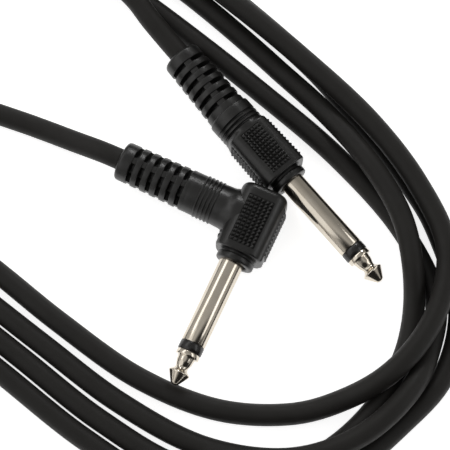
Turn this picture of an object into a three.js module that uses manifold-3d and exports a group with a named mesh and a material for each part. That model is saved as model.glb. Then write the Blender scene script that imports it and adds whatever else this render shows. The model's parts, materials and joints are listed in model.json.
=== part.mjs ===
// Instrument cable: a 3 m mono cable with one straight and one right-angle 1/4 inch plug, lying as a
// loose flat coil with both plugs inside it. Millimetres, +Z up, floor at z = 0. The origin is on the
// floor, midway between the two plugs, and +X points along the coil towards the end near the plug tips.
import * as THREE from 'three';
import { mergeVertices } from 'three/addons/utils/BufferGeometryUtils.js';
import Module from 'manifold-3d';

const wasm = await Module();
wasm.setup();

// ---------------------------------------------------------------- driving dimensions
const GAP = 0.3;                 // clearance between neighbouring pieces
const RIM = 24;                  // facets around a visible round piece
const INNER = 16;                // facets around a hidden round piece

const SLEEVE_R = 3.175;          // 1/4 inch plug
const EXPOSED = 34.2;            // metal that shows, from the handle's seat to the point
const RING_REAR = 22.9;          // insulating ring, measured from the seat
const RING_LENGTH = 2.3;

const CABLE_R = 2.8;
const CABLE_BORE = CABLE_R + GAP;

const GRIP_HALF = 6.3;           // half the grip's width across flats
const GRIP_FLAT = 4.1;           // half the width of each flat
const PAD_HALF = 6.9;            // half the width over the raised stud pads
const SIDE_PAD_HALF = 7.2;       // the same over the right-angle handle's outer pad
const PAD_WIDTH = 7.0;
const GRIP_FRONT = -2.4;
const SEAT_R = 5.0;              // collar that stops against the jack
const SEAT_GROOVE_R = 4.5;

const SLOT_ROWS = 6;             // windows of the strain relief
const SLOT_PITCH = 2.77;
const SLOT_WIDTH = 1.25;
const SLOT_CORE_R = 3.9;
const RIB_R = 4.75;              // the ribs lie lower than the rings they join
const RIB_WIDTH = 2.0;

const AXIS_Z = PAD_HALF;         // both plugs rest on their lower pads
const STRAIGHT = { x: 5.58, y: 22.61, turn: -11.6, rear: -45.0, firstSlot: -41.1, joint: -26.0, bend: -2.0 };
const ANGLE = {
  x: 6.5,
  y: -3.78,
  turn: -76.9,
  elbow: -12.6,
  rear: -37.2,
  firstSlot: -33.2,
  bend: -0.6,
  cap: -20.7,
  side: 0.45,                    // the handle is moulded this far off the plug's axis
};

// ---------------------------------------------------------------- materials
function finish(color, roughness, metalness = 0) {
  return new THREE.MeshStandardMaterial({ color, roughness, metalness });
}
const HANDLE_PVC = finish(0x242423, 0.5);
const JACKET_PVC = finish(0x2b2a28, 0.6);
const NICKEL = finish(0xc9c2b6, 0.18, 1);
const GLOSS_BLACK = finish(0x141312, 0.3);
const LINER = finish(0xe8e4da, 0.5);
const FIBRE = finish(0x6b4a33, 0.7);
const COPPER = finish(0xb87333, 0.35, 1);
const TINNED = finish(0xbdbcb6, 0.35, 1);
const STRAP = finish(0x1d1d1e, 0.85);

// ---------------------------------------------------------------- geometry helpers
// A round piece along +X from pairs of (distance, radius), outer surface first, in order of distance.
function lathe(profile, facets = RIM) {
  const points = profile.map(([s, r]) => new THREE.Vector2(r, s));
  const geometry = new THREE.LatheGeometry(points, facets);
  geometry.rotateZ(-Math.PI / 2);
  return geometry;
}

function tube(start, end, outer, inner, facets = RIM) {
  return lathe([[start, inner], [start, outer], [end, outer], [end, inner], [start, inner]], facets);
}

function rod(start, end, radius, facets = INNER) {
  return lathe([[start, 0], [start, radius], [end, radius], [end, 0]], facets);
}

function box(x0, x1, y0, y1, z0, z1) {
  const geometry = new THREE.BoxGeometry(x1 - x0, y1 - y0, z1 - z0);
  geometry.translate((x0 + x1) / 2, (y0 + y1) / 2, (z0 + z1) / 2);
  return geometry;
}

function solid(geometry) {
  const bare = geometry.clone();
  bare.deleteAttribute('normal');
  bare.deleteAttribute('uv');
  const merged = mergeVertices(bare, 1e-4);
  const triVerts = new Uint32Array(merged.index.array);
  const vertProperties = new Float32Array(merged.attributes.position.array);
  return new wasm.Manifold(new wasm.Mesh({ numProp: 3, vertProperties, triVerts }));
}

function geometryOf(manifold) {
  const mesh = manifold.getMesh();
  const geometry = new THREE.BufferGeometry();
  geometry.setAttribute('position', new THREE.BufferAttribute(mesh.vertProperties, 3));
  geometry.setIndex(new THREE.BufferAttribute(mesh.triVerts, 1));
  return geometry;
}

function joined(geometries) {
  return geometries.map(solid).reduce((sum, piece) => sum.add(piece));
}

function cut(manifold, geometries) {
  return geometries.map(solid).reduce((rest, tool) => rest.subtract(tool), manifold);
}

// A round wire of constant thickness through the given points.
function wire(points, radius, steps, sides = 8) {
  const outline = new THREE.Shape(circlePoints(radius, sides));
  const path = new THREE.CatmullRomCurve3(points.map((p) => new THREE.Vector3(...p)));
  return new THREE.ExtrudeGeometry(outline, { steps, bevelEnabled: false, extrudePath: path });
}

function circlePoints(radius, sides) {
  const points = [];
  for (let i = 0; i < sides; i += 1) {
    const angle = (2 * Math.PI * i) / sides;
    points.push(new THREE.Vector2(radius * Math.cos(angle), radius * Math.sin(angle)));
  }
  return points;
}

function place(group, name, geometry, material) {
  const mesh = new THREE.Mesh(geometry, material);
  mesh.name = name;
  group.add(mesh);
}

// ---------------------------------------------------------------- plug contacts, the same in both plugs
// Each plug lies along its own +X, with the seat that meets the jack at 0 and the point at EXPOSED.
const ROD_R = 0.9;
const LINER_INNER_R = 1.2;
const LINER_OUTER_R = 1.8;
const SLEEVE_BORE_R = 2.1;
const FLANGE_REAR = -5.4;
const FLANGE_FRONT = -4.2;
const FLANGE_R = 4.4;
const LUG_REAR = -6.3;
const LUG_FRONT = -5.7;
const LUG_R = 3.4;
const WASHER_REAR = -8.1;
const WASHER_FRONT = -6.6;
const WASHER_R = 2.6;
const TIP_LUG_REAR = -9.3;
const TIP_LUG_FRONT = -8.7;
const TIP_LUG_R = 2.4;
const ROD_REAR = -10.6;
const RIVET_FRONT = -9.6;
const RIVET_R = 1.6;
const TAB_THICKNESS = 0.5;
const TAB_END = -13.4;
const SHORT_TAB_END = -10.9;     // clears the core where it turns the right angle

function tipGeometry() {
  const collarRear = RING_REAR + RING_LENGTH + GAP;
  const apex = EXPOSED;
  return lathe([
    [ROD_REAR, 0],
    [ROD_REAR, RIVET_R],
    [RIVET_FRONT, RIVET_R],
    [RIVET_FRONT, ROD_R],
    [collarRear, ROD_R],
    [collarRear, 3.0],
    [apex - 7.7, 3.0],
    [apex - 7.6, 2.35],
    [apex - 6.3, 2.15],
    [apex - 5.2, 1.75],
    [apex - 4.6, 1.65],
    [apex - 4.0, 2.0],
    [apex - 3.5, 2.6],
    [apex - 3.2, 2.8],
    [apex - 2.9, 2.7],
    [apex - 0.4, 1.05],
    [apex - 0.1, 0.7],
    [apex, 0],
  ]);
}

function sleeveGeometry() {
  return lathe([
    [FLANGE_REAR, SLEEVE_BORE_R],
    [FLANGE_REAR, FLANGE_R],
    [FLANGE_FRONT, FLANGE_R],
    [FLANGE_FRONT, SLEEVE_R],
    [RING_REAR - GAP, SLEEVE_R],
    [RING_REAR - GAP, SLEEVE_BORE_R],
    [FLANGE_REAR, SLEEVE_BORE_R],
  ]);
}

// A ring of sheet metal with a tab bent back along the plug, at +Y or -Y.
function lugGeometry(rear, front, outer, inner, side, tabEnd) {
  const tabOuter = side * outer;
  const tabInner = side * (outer - TAB_THICKNESS);
  const tab = box(tabEnd, front, Math.min(tabOuter, tabInner), Math.max(tabOuter, tabInner), -0.9, 0.9);
  return geometryOf(joined([tube(rear, front, outer, inner, INNER), tab]));
}

function addContacts(group, name, sleeveTabEnd) {
  const sleeveLug = lugGeometry(LUG_REAR, LUG_FRONT, LUG_R, SLEEVE_BORE_R, -1, sleeveTabEnd);
  const tipLug = lugGeometry(TIP_LUG_REAR, TIP_LUG_FRONT, TIP_LUG_R, LINER_INNER_R, 1, TAB_END);
  const ring = tube(RING_REAR, RING_REAR + RING_LENGTH, SLEEVE_R, LINER_INNER_R);
  const washer = tube(WASHER_REAR, WASHER_FRONT, WASHER_R, SLEEVE_BORE_R, INNER);
  const liner = tube(WASHER_REAR, RING_REAR - GAP, LINER_OUTER_R, LINER_INNER_R, INNER);
  place(group, `${name}_tip`, tipGeometry(), NICKEL);
  place(group, `${name}_tip_ring`, ring, GLOSS_BLACK);
  place(group, `${name}_sleeve`, sleeveGeometry(), NICKEL);
  place(group, `${name}_rod_liner`, liner, LINER);
  place(group, `${name}_sleeve_lug`, sleeveLug, TINNED);
  place(group, `${name}_rear_washer`, washer, FIBRE);
  place(group, `${name}_tip_lug`, tipLug, TINNED);
}

// ---------------------------------------------------------------- handles
const CAVITY_R = 4.7;
const CAVITY_FRONT = -3.9;
const MOULD_OUTER_R = 4.4;
const MOULD_INNER_R = 3.7;
const SEAT_BORE_R = SLEEVE_R + GAP;
const CORE_R = 1.0;
const CORE_WIRE_R = 0.4;
const PIGTAIL_R = 0.6;

// The grip: a square bar with cut corners from s0 to s1, with raised pads on the chosen sides. Each
// pad is a turn about the plug's axis and half the width over it.
function gripGeometries(s0, s1, padStart, padEnd, pads) {
  const outline = new THREE.Shape([
    new THREE.Vector2(GRIP_HALF, -GRIP_FLAT),
    new THREE.Vector2(GRIP_HALF, GRIP_FLAT),
    new THREE.Vector2(GRIP_FLAT, GRIP_HALF),
    new THREE.Vector2(-GRIP_FLAT, GRIP_HALF),
    new THREE.Vector2(-GRIP_HALF, GRIP_FLAT),
    new THREE.Vector2(-GRIP_HALF, -GRIP_FLAT),
    new THREE.Vector2(-GRIP_FLAT, -GRIP_HALF),
    new THREE.Vector2(GRIP_FLAT, -GRIP_HALF),
  ]);
  const bar = new THREE.ExtrudeGeometry(outline, { depth: s1 - s0, bevelEnabled: false });
  bar.rotateY(Math.PI / 2);
  bar.translate(s0, 0, 0);
  const half = PAD_WIDTH / 2;
  const padBoxes = pads.map(([turn, reach]) => {
    const pad = box(padStart, padEnd, -half, half, GRIP_HALF - 1, reach);
    pad.rotateX(turn);
    return pad;
  });
  return [bar, ...padBoxes];
}

// Six rows of windows around the strain relief, four windows a row, leaving four low ribs along it.
function slotCutters(firstSlot) {
  const cutters = [];
  for (let row = 0; row < SLOT_ROWS; row += 1) {
    const middle = firstSlot + row * SLOT_PITCH;
    const start = middle - SLOT_WIDTH / 2;
    const end = middle + SLOT_WIDTH / 2;
    const ring = solid(tube(start, end, 7, SLOT_CORE_R));
    const half = RIB_WIDTH / 2;
    const ribs = [
      box(start - 1, end + 1, -8, 8, -half, half),
      box(start - 1, end + 1, -half, half, -8, 8),
    ];
    const groove = solid(tube(start, end, 7, RIB_R));
    cutters.push(cut(ring, ribs).add(groove));
  }
  return cutters;
}

const BOOT_REAR_R = 5.15;
const BOOT_FRONT_R = 5.5;
const BOOT_CHAMFER = 0.6;
const SHOULDER_R = 6.05;         // the plain round part between the straight handle's boot and grip
const SHOULDER_REAR = -24.8;
const SHOULDER_FRONT = -18.0;

function bootProfile(rear, end, endRadius) {
  return [
    [rear, 0],
    [rear, BOOT_REAR_R - BOOT_CHAMFER],
    [rear + BOOT_CHAMFER, BOOT_REAR_R],
    [end, endRadius],
  ];
}

// Square grooves in a turned outline.
function grooves({ first, pitch, count, width, outer, depth }) {
  const points = [];
  for (let i = 0; i < count; i += 1) {
    const start = first + i * pitch;
    const end = start + width;
    points.push([start, outer], [start, outer - depth], [end, outer - depth], [end, outer]);
  }
  return points;
}

function seatCollar() {
  return lathe([
    [GRIP_FRONT - 1, 0],
    [GRIP_FRONT - 1, SEAT_GROOVE_R],
    [-1.9, SEAT_GROOVE_R],
    [-1.9, SEAT_R],
    [0, SEAT_R],
    [0, 0],
  ]);
}

const ALL_PADS = [0, Math.PI / 2, Math.PI, -Math.PI / 2].map((turn) => [turn, PAD_HALF]);

// The straight handle's boot is turned in line with the plug, then bent a little at its front end.
function toBend(geometry) {
  geometry.translate(-STRAIGHT.joint, 0, 0);
  geometry.rotateZ(THREE.MathUtils.degToRad(STRAIGHT.bend));
  geometry.translate(STRAIGHT.joint, 0, 0);
  return geometry;
}

function straightHandle() {
  const bootFront = SHOULDER_REAR + 0.8;
  const boot = toBend(lathe([...bootProfile(STRAIGHT.rear, bootFront, BOOT_FRONT_R), [bootFront, 0]]));
  const outer = lathe([
    [SHOULDER_REAR, 0],
    [SHOULDER_REAR, SHOULDER_R],
    ...grooves({ first: -21.8, pitch: 1.1, count: 3, width: 0.6, outer: SHOULDER_R, depth: 0.45 }),
    [SHOULDER_FRONT, SHOULDER_R],
    [SHOULDER_FRONT, 0],
  ]);
  const grip = gripGeometries(-18.6, GRIP_FRONT, -16.9, -4.1, ALL_PADS);
  const body = joined([boot, outer, ...grip, seatCollar()]);
  const bores = [
    toBend(rod(STRAIGHT.rear - 1, -25, CABLE_BORE, RIM)),
    rod(-26, -20, CABLE_BORE, RIM),
    rod(-22.4, CAVITY_FRONT, CAVITY_R, RIM),
    rod(-5, 1, SEAT_BORE_R, RIM),
  ];
  const bend = (cutter) =>
    cutter.translate([-STRAIGHT.joint, 0, 0]).rotate([0, 0, STRAIGHT.bend]).translate([STRAIGHT.joint, 0, 0]);
  return slotCutters(STRAIGHT.firstSlot).reduce((rest, tool) => rest.subtract(bend(tool)), cut(body, bores));
}

// The right-angle handle's boot is turned along its own +X, then swung to point along -Y at the elbow.
function toElbow(geometry) {
  geometry.rotateZ(Math.PI / 2 + THREE.MathUtils.degToRad(ANGLE.bend));
  geometry.translate(ANGLE.elbow, 0, 0);
  return geometry;
}

const NECK_R = 5.9;              // the boot swells to this where it joins the block
const CAP_R = 6.2;               // the block's rounded rear end
const CAP_CHAMFER = 1.6;

function angleBoot() {
  return toElbow(lathe([
    ...bootProfile(ANGLE.rear, -15.2, BOOT_FRONT_R),
    ...grooves({ first: -14.8, pitch: 1.05, count: 5, width: 0.5, outer: BOOT_FRONT_R, depth: 0.3 }),
    [-9.0, BOOT_FRONT_R],
    [-6.5, NECK_R],
    [-4.0, NECK_R],
    [-4.0, 0],
  ]));
}

function angleHandle() {
  const pads = [[0, PAD_HALF], [Math.PI, PAD_HALF], [-Math.PI / 2, SIDE_PAD_HALF]];
  const grip = gripGeometries(ANGLE.cap + 1.2, GRIP_FRONT, -17.2, -4.6, pads);
  const capFront = ANGLE.cap + CAP_CHAMFER + 1;
  const capEnd = lathe([
    [ANGLE.cap, 0],
    [ANGLE.cap, CAP_R - CAP_CHAMFER],
    [ANGLE.cap + CAP_CHAMFER, CAP_R],
    [capFront, CAP_R],
    [capFront, 0],
  ]);
  const block = [...grip, capEnd, seatCollar()].map((piece) => piece.translate(0, ANGLE.side, 0));
  let body = joined([...block, angleBoot()]);
  body = cut(body, [
    rod(-18.0, CAVITY_FRONT, CAVITY_R, RIM),
    rod(-5, 1, SEAT_BORE_R, RIM),
    toElbow(rod(ANGLE.rear - 1, -2, CABLE_BORE, RIM)),
  ]);
  const swing = (cutter) => cutter.rotate([0, 0, 90 + ANGLE.bend]).translate([ANGLE.elbow, 0, 0]);
  return slotCutters(ANGLE.firstSlot).reduce((rest, tool) => rest.subtract(swing(tool)), body);
}

// ---------------------------------------------------------------- the two plugs
function straightPlug() {
  const plug = new THREE.Group();
  const name = 'straight';
  addContacts(plug, name, TAB_END);
  place(plug, `${name}_handle`, geometryOf(straightHandle()), HANDLE_PVC);
  place(
    plug,
    `${name}_inner_mould`,
    tube(-22.1, LUG_FRONT, MOULD_OUTER_R, MOULD_INNER_R, INNER),
    LINER,
  );
  const jacket = joined([toBend(rod(STRAIGHT.rear, -25.5, CABLE_R)), rod(-26.5, -19.5, CABLE_R)]);
  place(plug, `${name}_jacket_end`, geometryOf(jacket), JACKET_PVC);
  place(plug, `${name}_core_insulation`, rod(-19.2, -15.5, CORE_R, 12), LINER);
  place(
    plug,
    `${name}_core_wire`,
    wire([[-15.2, 0, 0], [-13.6, 0.7, 0], [-11.2, 1.1, 0]], CORE_WIRE_R, 6),
    COPPER,
  );
  place(
    plug,
    `${name}_shield_pigtail`,
    wire([[-19.2, -1.9, 0], [-16.5, -2.3, 0], [-13.8, -2.9, 0]], PIGTAIL_R, 6),
    TINNED,
  );
  plug.position.set(STRAIGHT.x, STRAIGHT.y, AXIS_Z);
  plug.rotation.z = THREE.MathUtils.degToRad(STRAIGHT.turn);
  return plug;
}

function anglePlug() {
  const plug = new THREE.Group();
  const name = 'angle';
  addContacts(plug, name, SHORT_TAB_END);
  place(plug, `${name}_handle`, geometryOf(angleHandle()), HANDLE_PVC);
  const mould = solid(tube(-17.7, LUG_FRONT, MOULD_OUTER_R, MOULD_INNER_R, INNER));
  const wireHole = toElbow(rod(-6, -2, CORE_R + GAP + 0.3, INNER));
  place(plug, `${name}_inner_mould`, geometryOf(cut(mould, [wireHole])), LINER);
  place(plug, `${name}_jacket_end`, toElbow(rod(ANGLE.rear, -4.9, CABLE_R)), JACKET_PVC);
  place(plug, `${name}_core_insulation`, toElbow(rod(-4.6, -2.4, CORE_R, 12)), LINER);
  place(plug, `${name}_core_wire`, toElbow(rod(-2.1, 1.5, CORE_WIRE_R, 8)), COPPER);
  place(
    plug,
    `${name}_shield_pigtail`,
    wire([[-13.2, -2.1, 1.9], [-11.7, -2.1, 1.9], [-10.2, -2.1, 1.9]], PIGTAIL_R, 4),
    TINNED,
  );
  plug.position.set(ANGLE.x, ANGLE.y, AXIS_Z);
  plug.rotation.z = THREE.MathUtils.degToRad(ANGLE.turn);
  return plug;
}

// ---------------------------------------------------------------- the cable's route
// One smooth line from the right-angle plug to the straight one. Each pass runs around the coil's near
// end; the far ends between passes are half-turns made by farEnd, and a strap holds them together.
const FLOOR = CABLE_R;           // height of a strand that lies on the floor
const UPPER = 8.7;               // height of a strand that lies on another
const FAR_X = -163.0;            // centre of the far half-turns
const FAR_Y = -1.1;
const FAR_R = 40.4;              // radius of the innermost far half-turn
const STRAP_LIFT = 1.5;          // the strap passes under the strands
const FAR_STEPS = 6;
const LEG_STEPS = 3;

const ANGLE_LEAD = [
  [-33.0, 0.36, AXIS_Z], [-38.0, -0.75, 6.3], [-46.0, -2.6, 4.2], [-56.3, -5.3, FLOOR], [-65.8, -8.4, FLOOR],
  [-89.8, -16.5, FLOOR], [-111.8, -24.1, FLOOR], [-135.8, -32.7, FLOOR],
];
const PASS_1 = [
  [-44.5, 39.3, FLOOR], [-16.9, 38.4, FLOOR], [11.1, 36.3, FLOOR], [35.6, 30.8, FLOOR],
  [52.8, 21.3, FLOOR], [59.1, 9.9, 3.6], [61.4, -2.6, 8.0], [58.6, -18.6, 8.7],
  [48.8, -33.5, 8.5], [29.2, -44.3, FLOOR], [6.0, -48.5, FLOOR], [-19.6, -49.0, FLOOR],
];
const PASS_2 = [
  [-45.8, 48.5, FLOOR], [-16.3, 46.1, FLOOR], [1.2, 43.5, 5.2], [18.7, 38.7, 8.4],
  [33.1, 32.3, 8.9], [43.0, 23.9, 8.0], [50.6, 14.5, 3.9], [55.2, 3.9, FLOOR],
  [57.0, -10.1, FLOOR], [54.6, -25.1, FLOOR], [46.6, -41.1, FLOOR], [27.8, -51.7, FLOOR],
  [4.7, -55.0, FLOOR], [-21.4, -55.0, FLOOR],
];
const PASS_3 = [
  [-39.1, 54.7, FLOOR], [-9.8, 52.1, FLOOR], [4.6, 49.0, FLOOR], [18.0, 46.0, FLOOR],
  [30.4, 41.8, FLOOR], [41.0, 37.1, FLOOR], [58.6, 23.5, FLOOR], [65.8, 6.9, FLOOR],
  [64.6, -9.6, FLOOR], [59.4, -30.4, FLOOR], [47.8, -48.5, FLOOR], [28.0, -58.0, FLOOR],
  [4.7, -61.0, FLOOR], [-23.2, -61.0, FLOOR],
];
const PASS_4 = [
  [-37.3, 52.3, UPPER], [-13.5, 50.9, UPPER], [11.6, 47.8, UPPER], [30.9, 42.0, UPPER],
  [46.6, 33.1, 8.9], [53.8, 20.9, 9.4], [56.0, 8.9, 9.4], [54.6, -3.1, 8.4],
  [49.6, -13.7, 4.2], [42.0, -23.8, FLOOR], [26.8, -34.6, FLOOR], [6.1, -40.7, FLOOR],
  [-18.9, -42.0, FLOOR], [-39.1, -41.7, FLOOR],
];
const STRAIGHT_LEAD = [[-59.3, 37.1, UPPER], [-50.5, 34.9, 8.0], [-43.5, 33.4, 7.2], [-38.7, 32.4, AXIS_Z]];

// A strand between a pass's end and the far half-turn: it changes height first, then moves sideways.
function leg(end, farY, farZ, fraction) {
  const rise = Math.min(1, 2 * fraction);
  const shift = Math.max(0, 2 * fraction - 1);
  return [
    end[0] + (FAR_X - end[0]) * fraction,
    end[1] + (farY - end[1]) * shift,
    end[2] + (farZ - end[2]) * rise,
  ];
}

function halfTurn(radius, height) {
  const points = [];
  for (let i = 0; i <= FAR_STEPS; i += 1) {
    const angle = (Math.PI * i) / FAR_STEPS;
    points.push([
      FAR_X - radius * Math.sin(angle),
      FAR_Y - radius * Math.cos(angle),
      height + STRAP_LIFT * Math.sin(angle) ** 4,
    ]);
  }
  return points;
}

function farEnd(arrive, depart, radius, height) {
  const points = [];
  for (let i = 1; arrive && i <= LEG_STEPS; i += 1) {
    points.push(leg(arrive, FAR_Y - radius, height, i / (LEG_STEPS + 1)));
  }
  points.push(...halfTurn(radius, height));
  for (let i = LEG_STEPS; i >= 1; i -= 1) {
    points.push(leg(depart, FAR_Y + radius, height, i / (LEG_STEPS + 1)));
  }
  return points;
}

const routePoints = [
  ...ANGLE_LEAD,
  ...farEnd(null, PASS_1[0], FAR_R, FLOOR),
  ...PASS_1,
  ...farEnd(PASS_1.at(-1), PASS_2[0], FAR_R + 6.3, FLOOR),
  ...PASS_2,
  ...farEnd(PASS_2.at(-1), PASS_3[0], FAR_R + 12.5, FLOOR),
  ...PASS_3,
  ...farEnd(PASS_3.at(-1), PASS_4[0], FAR_R + 9.4, UPPER),
  ...PASS_4,
  ...farEnd(PASS_4.at(-1), STRAIGHT_LEAD[0], FAR_R + 2.9, UPPER),
  ...STRAIGHT_LEAD,
];

// The smooth line through the points, never lower than a strand that lies on the floor.
class Route extends THREE.CatmullRomCurve3 {
  getPoint(t, target = new THREE.Vector3()) {
    super.getPoint(t, target);
    target.z = Math.max(target.z, FLOOR);
    return target;
  }
}
const route = new Route(routePoints.map((p) => new THREE.Vector3(...p)), false, 'centripetal');
route.arcLengthDivisions = 6000;
const ROUTE_LENGTH = route.getLength();

// Part of the route, between two distances along it. Crowding draws its steps together in the middle.
class Stretch extends THREE.Curve {
  constructor(start, end, crowding) {
    super();
    this.start = start;
    this.end = end;
    this.crowding = crowding;
  }

  getPoint(t, target = new THREE.Vector3()) {
    const eased = t + (this.crowding * Math.sin(2 * Math.PI * t)) / (2 * Math.PI);
    const distance = this.start + (this.end - this.start) * eased;
    return route.getPointAt(distance / ROUTE_LENGTH, target);
  }

  getPointAt(t, target) {
    return this.getPoint(t, target);
  }

  getTangentAt(t, target) {
    return this.getTangent(t, target);
  }
}

const COIL_FACE_X = -75.0;       // where the loose strands enter the strapped end of the coil
const CABLE_SIDES = 10;
const CABLE_STEP = 17.0;         // three diameters
const NEAR_END_CROWDING = 0.45;  // shorter steps where a turn bends, at its middle

// Distances at which the route crosses the coil end's two flat faces.
function faceCrossings() {
  const limit = COIL_FACE_X + 2 * GAP;
  const samples = 6000;
  const crossings = [];
  let before = route.getPointAt(0);
  for (let i = 1; i <= samples; i += 1) {
    const here = route.getPointAt(i / samples);
    if ((before.x - limit) * (here.x - limit) < 0) {
      const share = (limit - before.x) / (here.x - before.x);
      crossings.push(((i - 1 + share) * ROUTE_LENGTH) / samples);
    }
    before = here;
  }
  return crossings;
}

function strand(start, end, crowding = 0) {
  const steps = Math.max(2, Math.round((end - start) / CABLE_STEP));
  const outline = new THREE.Shape(circlePoints(CABLE_R, CABLE_SIDES));
  const extrudePath = new Stretch(start, end, crowding);
  return new THREE.ExtrudeGeometry(outline, { steps, bevelEnabled: false, extrudePath });
}

// ---------------------------------------------------------------- the strapped end of the coil
const COIL_TOP = 11.9;
const STRAP_WIDTH = 12.0;
const STRAP_THICKNESS = 1.2;
const COIL_INNER_R = FAR_R - 3.1;
const COIL_OUTER_R = FAR_R + 15.6;
const EAR = { x: -120.0, y: -27.0, half: 3.3 };   // where the right-angle plug's lead joins the coil
const EAR_NORMAL = new THREE.Vector2(0.33, -0.944);

function coilEndOutline() {
  const outline = new THREE.Shape();
  outline.moveTo(COIL_FACE_X, -38.6);
  outline.lineTo(EAR.x + 8, -38.6);
  outline.lineTo(EAR.x + EAR.half * EAR_NORMAL.x, EAR.y + EAR.half * EAR_NORMAL.y);
  outline.lineTo(EAR.x - EAR.half * EAR_NORMAL.x, EAR.y - EAR.half * EAR_NORMAL.y);
  outline.lineTo(FAR_X + 8, FAR_Y - COIL_INNER_R + 2.2);
  outline.absarc(FAR_X, FAR_Y, COIL_INNER_R, -Math.PI / 2, Math.PI / 2, true);
  outline.lineTo(COIL_FACE_X, 35.1);
  outline.lineTo(COIL_FACE_X, 58.0);
  outline.lineTo(FAR_X, FAR_Y + COIL_OUTER_R);
  outline.absarc(FAR_X, FAR_Y, COIL_OUTER_R, Math.PI / 2, -Math.PI / 2, false);
  outline.lineTo(COIL_FACE_X, -64.3);
  outline.closePath();
  return outline;
}

// The strap is a flat band around the coil's section at its far end, on the coil's long axis.
const STRAP_X0 = FAR_X - COIL_OUTER_R;
const STRAP_X1 = FAR_X - COIL_INNER_R;

function strapBox(grow) {
  const half = STRAP_WIDTH / 2 + grow;
  const bottom = grow > 0 ? -1 : 0;
  return box(
    STRAP_X0 - STRAP_THICKNESS - grow,
    STRAP_X1 + STRAP_THICKNESS + grow,
    FAR_Y - half,
    FAR_Y + half,
    bottom,
    COIL_TOP + STRAP_LIFT + STRAP_THICKNESS + grow,
  );
}

function strapHole(shrink) {
  const half = STRAP_WIDTH / 2 + 2;
  return box(
    STRAP_X0 + shrink,
    STRAP_X1 - shrink,
    FAR_Y - half,
    FAR_Y + half,
    STRAP_THICKNESS + shrink,
    COIL_TOP + STRAP_LIFT - shrink,
  );
}

function coilEnd() {
  const slab = new THREE.ExtrudeGeometry(coilEndOutline(), {
    depth: COIL_TOP,
    bevelEnabled: false,
    curveSegments: 28,
  });
  const crownTop = COIL_TOP + STRAP_LIFT;
  const crown = box(STRAP_X0 + 3, STRAP_X1 - 1, FAR_Y - 16, FAR_Y + 16, COIL_TOP - 1, crownTop);
  const body = joined([slab, crown]);
  const groove = cut(solid(strapBox(GAP)), [strapHole(GAP)]);
  return body.subtract(groove);
}

function cableParts() {
  const cable = new THREE.Group();
  const faces = faceCrossings();
  const earDistance = nearestDistance(EAR.x, EAR.y) - GAP;
  place(cable, 'cable_angle_lead', strand(0, earDistance), JACKET_PVC);
  for (let turn = 0; turn < 4; turn += 1) {
    const first = faces[2 + 2 * turn - 1];
    const last = faces[2 + 2 * turn];
    place(cable, `cable_turn_${turn + 1}`, strand(first, last, NEAR_END_CROWDING), JACKET_PVC);
  }
  place(cable, 'cable_straight_lead', strand(faces.at(-1), ROUTE_LENGTH), JACKET_PVC);
  place(cable, 'cable_coil_end', geometryOf(coilEnd()), JACKET_PVC);
  place(cable, 'cable_strap', geometryOf(cut(solid(strapBox(0)), [strapHole(0)])), STRAP);
  return cable;
}

// Distance along the first stretch of the route at which it passes nearest to a point.
function nearestDistance(x, y) {
  let best = 0;
  let least = Infinity;
  for (let distance = 0; distance < 160; distance += 0.1) {
    const here = route.getPointAt(distance / ROUTE_LENGTH);
    const away = Math.hypot(here.x - x, here.y - y);
    if (away < least) {
      least = away;
      best = distance;
    }
  }
  return best;
}

const instrumentCable = new THREE.Group();
instrumentCable.add(straightPlug(), anglePlug(), cableParts());

export default instrumentCable;
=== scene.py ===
"""Instrument cable: a coiled cable with a straight and a right-angle plug. Metres, +Z up."""
import json
import math

import bmesh
import bpy
from mathutils import Matrix, Vector


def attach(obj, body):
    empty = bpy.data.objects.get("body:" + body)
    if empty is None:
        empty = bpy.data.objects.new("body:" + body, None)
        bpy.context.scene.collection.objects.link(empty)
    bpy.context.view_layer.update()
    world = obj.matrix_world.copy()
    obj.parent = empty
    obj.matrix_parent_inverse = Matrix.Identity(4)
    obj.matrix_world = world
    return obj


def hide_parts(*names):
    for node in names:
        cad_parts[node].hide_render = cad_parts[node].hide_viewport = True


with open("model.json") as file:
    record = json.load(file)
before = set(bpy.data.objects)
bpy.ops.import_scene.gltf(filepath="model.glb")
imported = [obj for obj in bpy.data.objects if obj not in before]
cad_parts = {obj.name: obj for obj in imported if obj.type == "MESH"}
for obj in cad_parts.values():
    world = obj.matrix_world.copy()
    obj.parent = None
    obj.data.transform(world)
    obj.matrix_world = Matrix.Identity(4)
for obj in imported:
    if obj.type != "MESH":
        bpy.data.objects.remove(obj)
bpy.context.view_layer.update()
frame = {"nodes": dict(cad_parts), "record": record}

MM = 0.001
SCENE = bpy.context.scene

# ------------------------------------------------------------------ camera
TARGET = Vector((-2.2, 4.6, 0)) * MM
VIEW_AZIMUTH = math.radians(38)
VIEW_ELEVATION = math.radians(75)
VIEW_DISTANCE = 410 * MM
SENSOR_WIDTH = 36                # in millimetres, as the camera's settings take it
LENS = 126.24


def make_camera():
    data = bpy.data.cameras.new("camera")
    data.sensor_width = SENSOR_WIDTH
    data.lens = LENS
    data.clip_start = 0.01
    camera = bpy.data.objects.new("camera", data)
    flat = math.cos(VIEW_ELEVATION)
    offset = Vector((
        math.sin(VIEW_AZIMUTH) * flat,
        -math.cos(VIEW_AZIMUTH) * flat,
        math.sin(VIEW_ELEVATION),
    ))
    camera.location = TARGET + offset * VIEW_DISTANCE
    camera.rotation_euler = (math.pi / 2 - VIEW_ELEVATION, 0, VIEW_AZIMUTH)
    SCENE.collection.objects.link(camera)
    SCENE.camera = camera


make_camera()

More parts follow.
